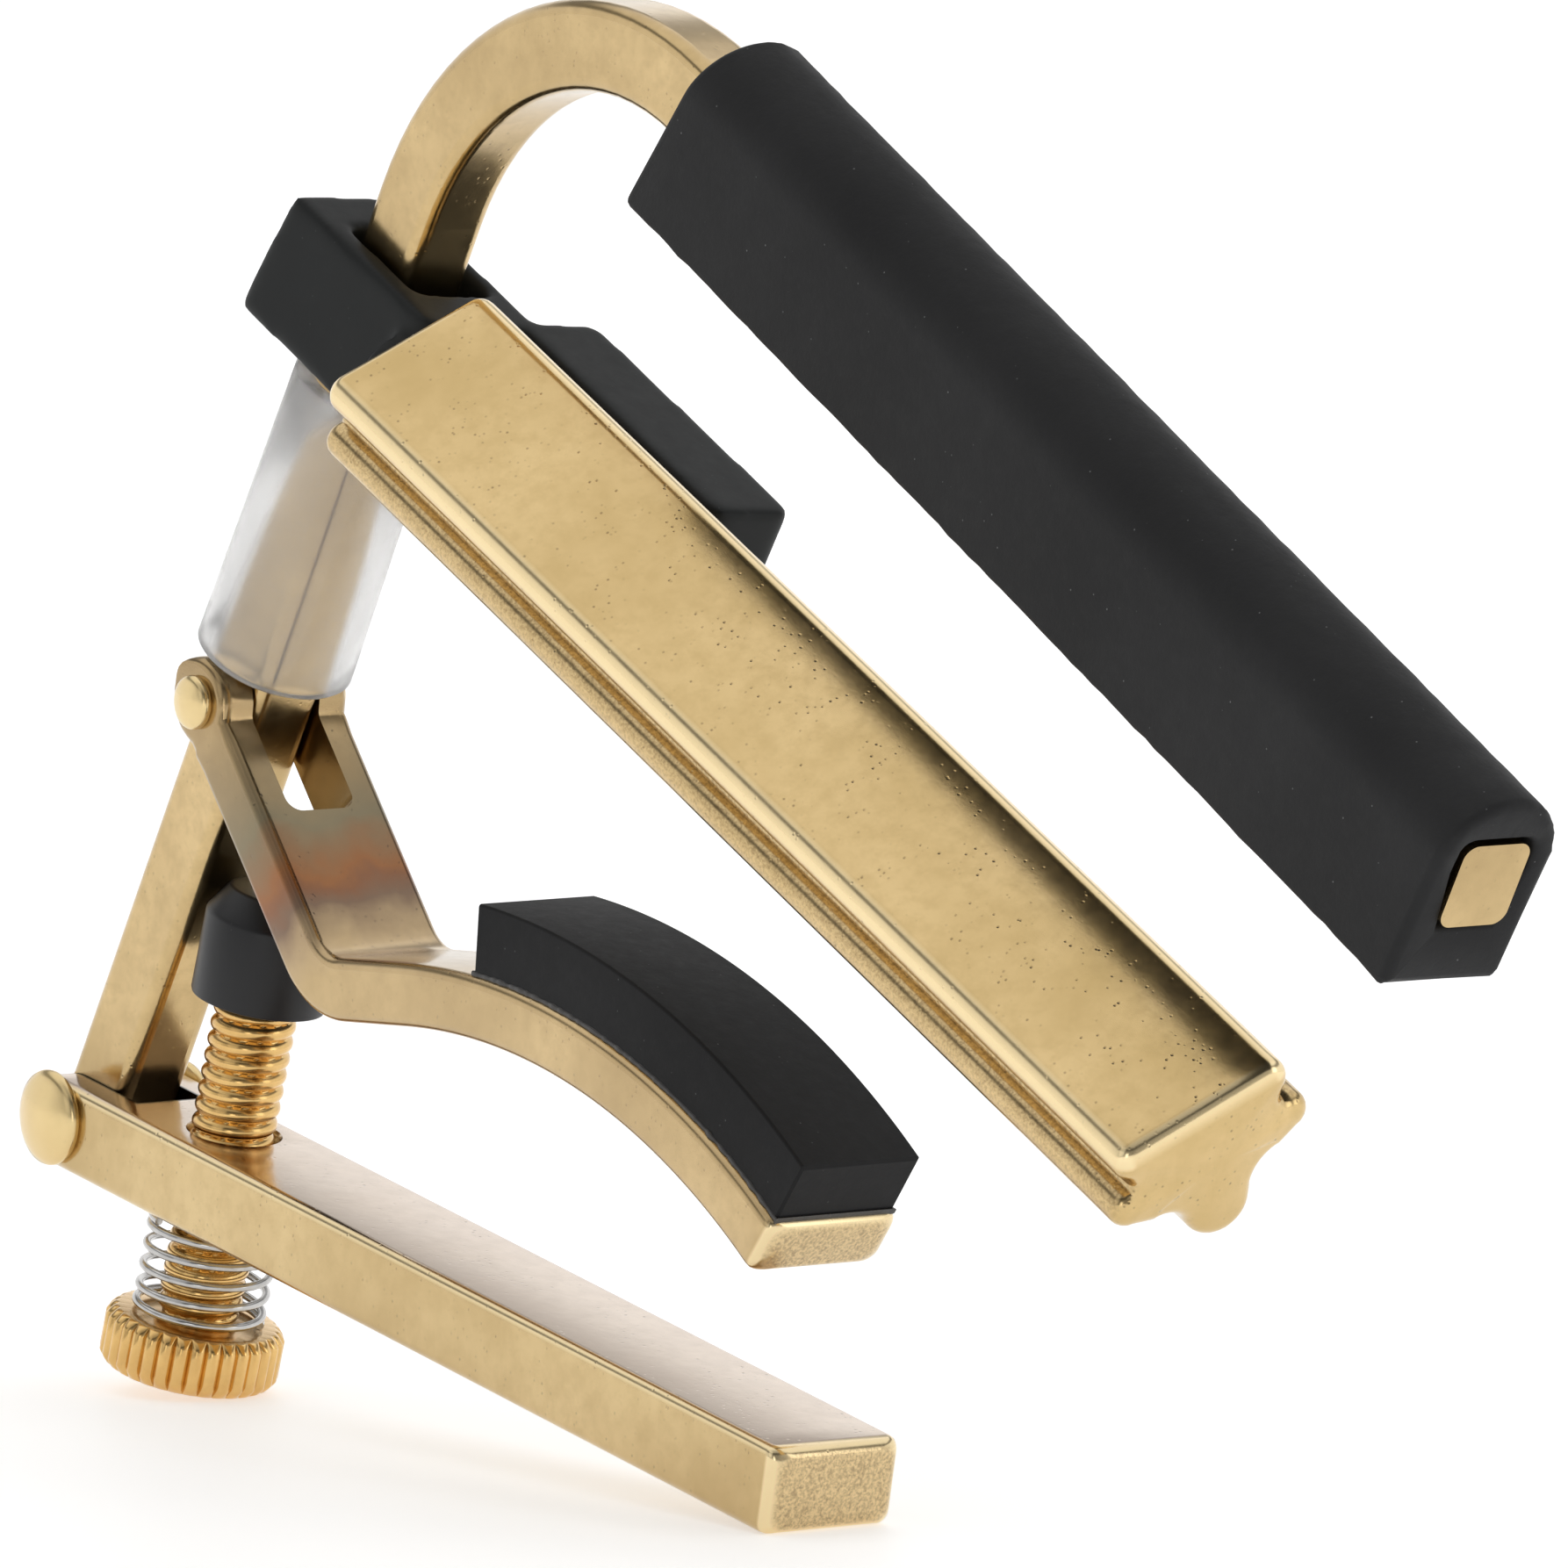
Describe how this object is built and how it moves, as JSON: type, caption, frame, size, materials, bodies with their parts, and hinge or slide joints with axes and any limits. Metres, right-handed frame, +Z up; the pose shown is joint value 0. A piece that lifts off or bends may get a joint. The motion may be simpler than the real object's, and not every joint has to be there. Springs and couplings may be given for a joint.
{
  "type": "guitar capo",
  "caption": "Brass raised-string guitar capo with a rubber-sleeved hook arm, sliding string bar and folding over-centre clamp lever set by a thumb screw.",
  "frame": {"origin": "centre of the bounding box's base, on the floor under the knurled head and the end of the handle", "axes": "+X from the hook towards the free ends of the arm and the handle, +Y along the pivots away from the string bar, +Z up"},
  "size_m": [0.1234, 0.0192, 0.0792],
  "materials": {
    "brass": "polished",
    "bar_brass": "polished with fine pits",
    "screw_brass": "machined",
    "rivet_brass": "polished",
    "rubber": "matt with fine specks",
    "adhesive": "uneven film",
    "carriage_plastic": "smooth matt",
    "nylon": "satin",
    "clear_tube": "milky clear plastic",
    "spring_steel": "bright drawn wire",
    "pin_steel": "ground"
  },
  "bodies": {
    "main_arm": {"main_arm": "brass", "arm_sleeve": "rubber", "spacer_tube": "clear_tube", "upper_rivet": "rivet_brass", "lower_rivet": "rivet_brass"},
    "carriage": {"bar_carriage": "carriage_plastic"},
    "string_bar": {"string_bar": "bar_brass", "bar_pin": "pin_steel"},
    "clamp_lever": {"clamp_lever": "brass", "lever_pad": "rubber", "pad_adhesive": "adhesive"},
    "handle": {"handle_lever": "brass", "friction_spring": "spring_steel"},
    "screw_tip": {"nylon_tip": "nylon"},
    "thumb_screw": {"thumb_screw": "screw_brass", "knurled_head": "screw_brass"}
  },
  "joints": [
    {"name": "handle_swing", "type": "hinge", "parent": "main_arm", "child": "handle", "pos_m": [-0.05907, 0.00063, 0.01444], "axis": [0, 1, 0], "range_deg": [0, 62]},
    {"name": "clamp_open", "type": "hinge", "parent": "main_arm", "child": "clamp_lever", "pos_m": [-0.04606, 0.00063, 0.03878], "axis": [0, 1, 0], "range_deg": [0, 31]},
    {"name": "carriage_slide", "type": "slide", "parent": "main_arm", "child": "carriage", "axis": [0.4712, 0, 0.882], "range_m": [0, 0.008]},
    {"name": "bar_roll", "type": "hinge", "parent": "carriage", "child": "string_bar", "pos_m": [-0.02698, -0.00325, 0.05752], "axis": [0.8909, 0.029, -0.4532], "range_deg": [-31, 0]},
    {"name": "screw_advance", "type": "slide", "parent": "handle", "child": "screw_tip", "axis": [0.225, 0.0419, 0.9735], "range_m": [-0.0033, 0.0006], "deforming": ["friction_spring"]},
    {"name": "screw_turn", "type": "hinge", "parent": "screw_tip", "child": "thumb_screw", "pos_m": [-0.04854, 0.00063, 0.01254], "axis": [0.225, 0.0419, 0.9735], "range_deg": [-1255, 230]}
  ],
  "couplings": [
    {"joint": "clamp_open", "follows": "handle_swing", "ratio": 0.5},
    {"joint": "screw_turn", "follows": "screw_advance", "rad_per_m": 6613.9}
  ]
}
